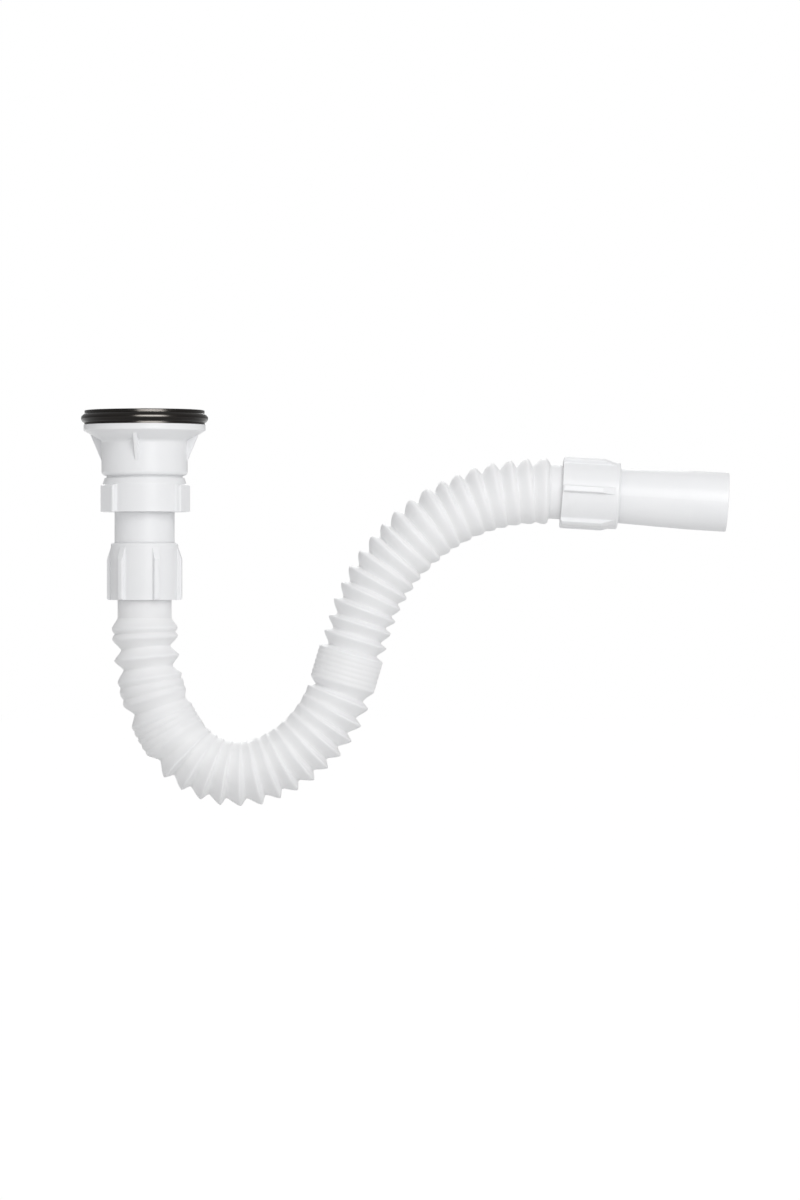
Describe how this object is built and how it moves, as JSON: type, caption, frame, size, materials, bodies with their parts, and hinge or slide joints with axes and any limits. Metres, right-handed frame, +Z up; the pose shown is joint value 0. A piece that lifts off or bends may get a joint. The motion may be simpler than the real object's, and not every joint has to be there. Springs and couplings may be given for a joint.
{
  "type": "basin trap",
  "caption": "Flexible basin trap: a flanged waste with a rubber gasket and strainer, a slip nut and tail tube, and a corrugated hose bent into a water seal with a plain outlet spigot.",
  "frame": {"origin": "on the inlet's axis, in the plane where the gasket meets the basin's underside", "axes": "+Z up along the inlet, +X from the inlet towards the outlet, the hose bent in the XZ plane"},
  "size_m": [0.3563, 0.0698, 0.218],
  "materials": {
    "white_plastic": "satin moulded polypropylene",
    "hose_plastic": "matt blown polypropylene",
    "black_rubber": "satin moulded rubber",
    "steel": "pressed stainless steel",
    "brass": "turned"
  },
  "bodies": {
    "waste": {"waste_body": "white_plastic", "basin_gasket": "black_rubber", "nut_insert": "brass", "cone_washer": "black_rubber"},
    "strainer": {"strainer": "steel", "strainer_seal": "black_rubber"},
    "screw": {"strainer_screw": "steel"},
    "slip_ring": {"slip_ring": "white_plastic"},
    "waste_nut": {"waste_nut": "white_plastic"},
    "tail": {"tailpiece": "white_plastic"},
    "inlet_seal": {"inlet_washer": "black_rubber"},
    "inlet_nut": {"inlet_nut": "white_plastic"},
    "hose": {"corrugated_hose": "hose_plastic"},
    "outlet_seal": {"outlet_washer": "black_rubber"},
    "outlet_nut": {"outlet_nut": "white_plastic"},
    "spigot": {"outlet_spigot": "white_plastic"}
  },
  "joints": [
    {"name": "strainer_lift", "type": "slide", "parent": "waste", "child": "strainer", "axis": [0, 0, 1], "range_m": [0, 0.005]},
    {"name": "screw_turn", "type": "hinge", "parent": "strainer", "child": "screw", "pos_m": [0, 0, 0], "axis": [0, 0, 1], "range_deg": [0, 1801]},
    {"name": "waste_nut_travel", "type": "slide", "parent": "waste", "child": "slip_ring", "axis": [0, 0, -1], "range_m": [0, 0.00693]},
    {"name": "waste_nut_turn", "type": "hinge", "parent": "slip_ring", "child": "waste_nut", "pos_m": [0, 0, -0.045], "axis": [0, 0, -1], "range_deg": [0, 1081]},
    {"name": "tail_slide", "type": "slide", "parent": "waste", "child": "tail", "axis": [0, 0, 1], "range_m": [-0.008, 0.009]},
    {"name": "union_drop", "type": "slide", "parent": "tail", "child": "inlet_seal", "axis": [0, 0, -1], "range_m": [0, 0.006]},
    {"name": "inlet_nut_turn", "type": "hinge", "parent": "inlet_seal", "child": "inlet_nut", "pos_m": [0, 0, -0.087], "axis": [0, 0, -1], "range_deg": [0, 721]},
    {"name": "hose_swivel", "type": "hinge", "parent": "inlet_seal", "child": "hose", "pos_m": [0, 0, -0.1], "axis": [0, 0, 1], "continuous": true},
    {"name": "hose_bend", "type": "hinge", "parent": "hose", "child": "outlet_seal", "pos_m": [0.1578, 0, -0.0609], "axis": [0, -1, 0], "range_deg": [-25, 25], "deforming": ["corrugated_hose"]},
    {"name": "outlet_nut_turn", "type": "hinge", "parent": "outlet_seal", "child": "outlet_nut", "pos_m": [0.24437, 0, -0.04401], "axis": [-0.9981, 0, 0.061], "range_deg": [0, 721]},
    {"name": "spigot_draw", "type": "slide", "parent": "outlet_seal", "child": "spigot", "axis": [0.9981, 0, -0.061], "range_m": [0, 0.006]}
  ],
  "couplings": [
    {"joint": "screw_turn", "follows": "strainer_lift", "rad_per_m": 6283.2},
    {"joint": "waste_nut_turn", "follows": "waste_nut_travel", "rad_per_m": 2721.2},
    {"joint": "inlet_nut_turn", "follows": "union_drop", "rad_per_m": 2094.4},
    {"joint": "outlet_nut_turn", "follows": "spigot_draw", "rad_per_m": 2094.4}
  ]
}
